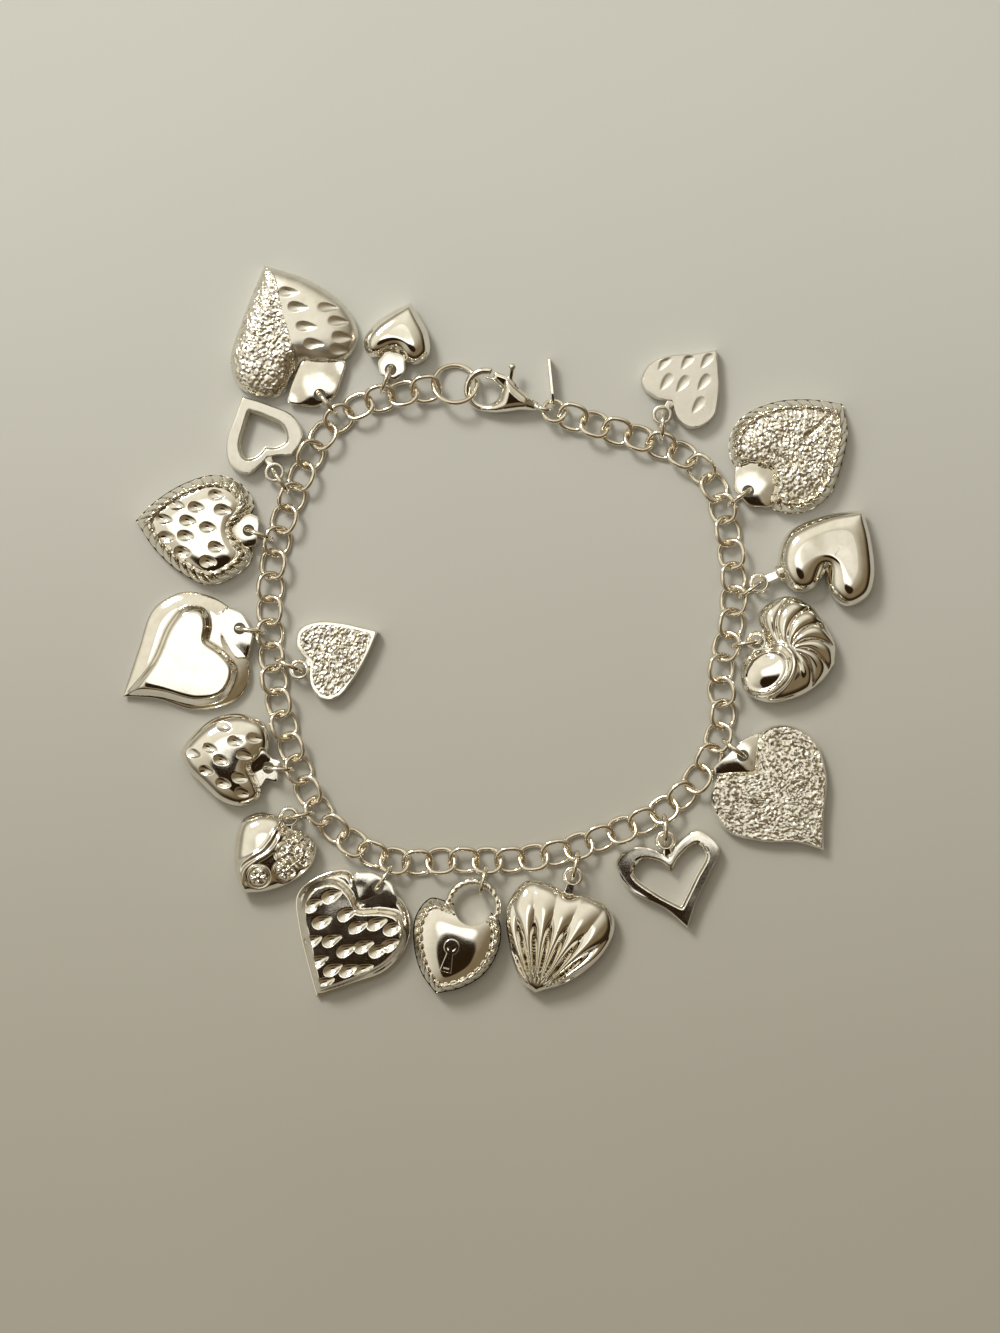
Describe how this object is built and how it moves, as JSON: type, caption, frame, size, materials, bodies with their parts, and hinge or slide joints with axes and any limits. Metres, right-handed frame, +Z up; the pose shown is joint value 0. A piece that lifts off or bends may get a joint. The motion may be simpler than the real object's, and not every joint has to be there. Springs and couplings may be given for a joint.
{
  "type": "charm bracelet",
  "caption": "Silver cable-link charm bracelet with a lobster clasp and heart charms on jump rings, laid flat in a loop.",
  "frame": {"origin": "centre of the box of the laid bracelet, on the surface that it lies on", "axes": "+Z up from that surface, +Y towards the clasp, +X towards the side on the clasp's tail end"},
  "size_m": [0.1, 0.0974, 0.0042],
  "materials": {
    "wire_silver": "polished silver wire with fine handling marks",
    "polished_silver": "polished stamped silver",
    "satin_silver": "satin silver",
    "glitter_silver": "diamond-dust silver, a fine sparkling grain"
  },
  "bodies": {
    "bracelet": {"chain": "wire_silver", "end_ring": "wire_silver", "tail_ring": "wire_silver", "clasp_body": "wire_silver", "tag": "wire_silver", "ring_hammered": "wire_silver", "charm_hammered": "satin_silver", "ring_rope_glitter": "wire_silver", "charm_rope_glitter": "glitter_silver", "ring_floating": "wire_silver", "charm_floating": "polished_silver", "ring_swirl": "wire_silver", "charm_swirl": "polished_silver", "ring_glitter": "wire_silver", "charm_glitter": "glitter_silver", "ring_open": "wire_silver", "charm_open": "polished_silver", "ring_fluted": "wire_silver", "charm_fluted": "polished_silver", "ring_padlock": "wire_silver", "charm_padlock": "polished_silver", "ring_teardrop": "wire_silver", "charm_teardrop": "polished_silver", "ring_flower": "wire_silver", "charm_flower": "polished_silver", "ring_strawberry": "wire_silver", "charm_strawberry": "polished_silver", "ring_small_glitter": "wire_silver", "charm_small_glitter": "glitter_silver", "ring_curled": "wire_silver", "charm_curled": "polished_silver", "ring_rope_dimpled": "wire_silver", "charm_rope_dimpled": "polished_silver", "ring_open_satin": "wire_silver", "charm_open_satin": "satin_silver", "ring_half_glitter": "wire_silver", "charm_half_glitter": "glitter_silver", "ring_small": "wire_silver", "charm_small": "polished_silver"},
    "clasp_lever": {"clasp_lever": "wire_silver"}
  },
  "joints": [
    {"name": "lever_hinge", "type": "hinge", "parent": "bracelet", "child": "clasp_lever", "pos_m": [0.00155, 0.03232, 0.00191], "axis": [-0.0545, -0.2006, 0.9781], "range_deg": [0, 28], "stiffness_Nm_per_rad": 0.0005}
  ]
}
